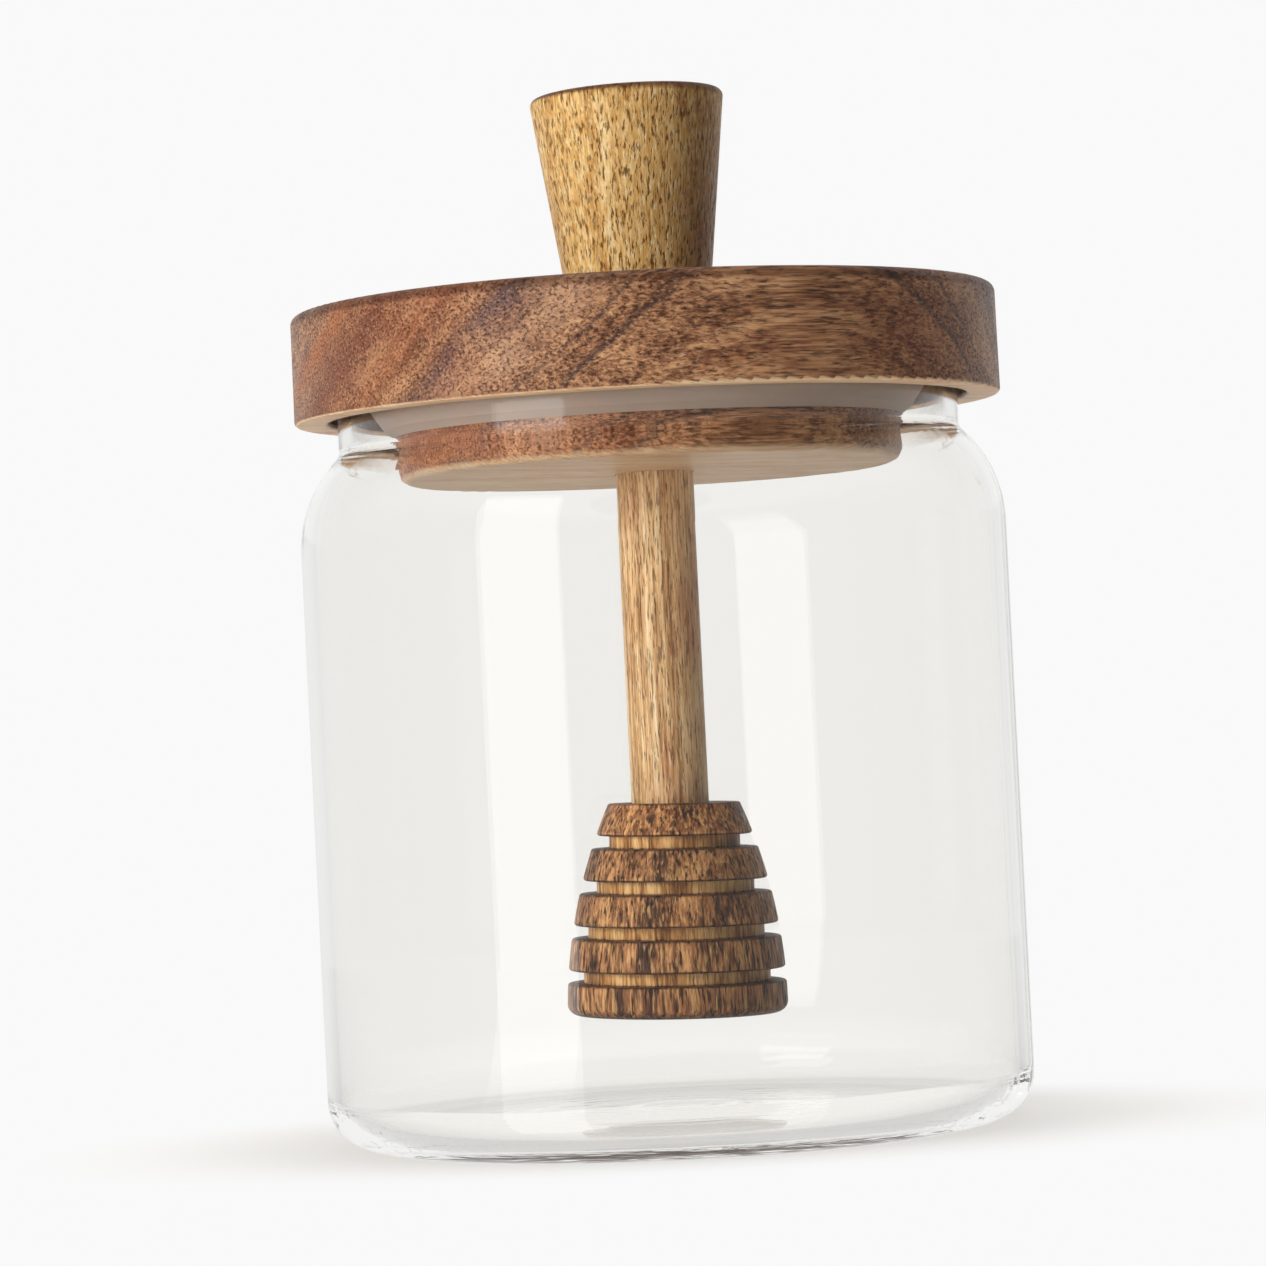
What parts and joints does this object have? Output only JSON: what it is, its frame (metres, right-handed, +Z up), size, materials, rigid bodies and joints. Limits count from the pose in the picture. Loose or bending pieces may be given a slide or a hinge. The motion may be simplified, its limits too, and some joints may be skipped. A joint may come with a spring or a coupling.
{
  "type": "honey jar with dipper",
  "caption": "Empty glass honey jar with a turned wooden lid whose dipper hangs inside, sealed by a silicone ring.",
  "frame": {"origin": "centre of the jar's foot, on the surface it stands on", "axes": "+Z up along the jar's axis; -Y towards the viewer of the front"},
  "size_m": [0.1002, 0.1002, 0.1474],
  "materials": {
    "clear_glass": "clear, fire polished",
    "lid_wood": "oiled dark acacia",
    "seal_silicone": "translucent grey silicone",
    "knob_wood": "oiled golden acacia sapwood",
    "stick_wood": "oiled golden acacia sapwood",
    "head_wood": "oiled brown acacia"
  },
  "bodies": {
    "root": {"jar": "clear_glass", "lid": "lid_wood", "seal": "seal_silicone", "knob": "knob_wood", "stick": "stick_wood", "dipper_head": "head_wood"}
  },
  "joints": []
}
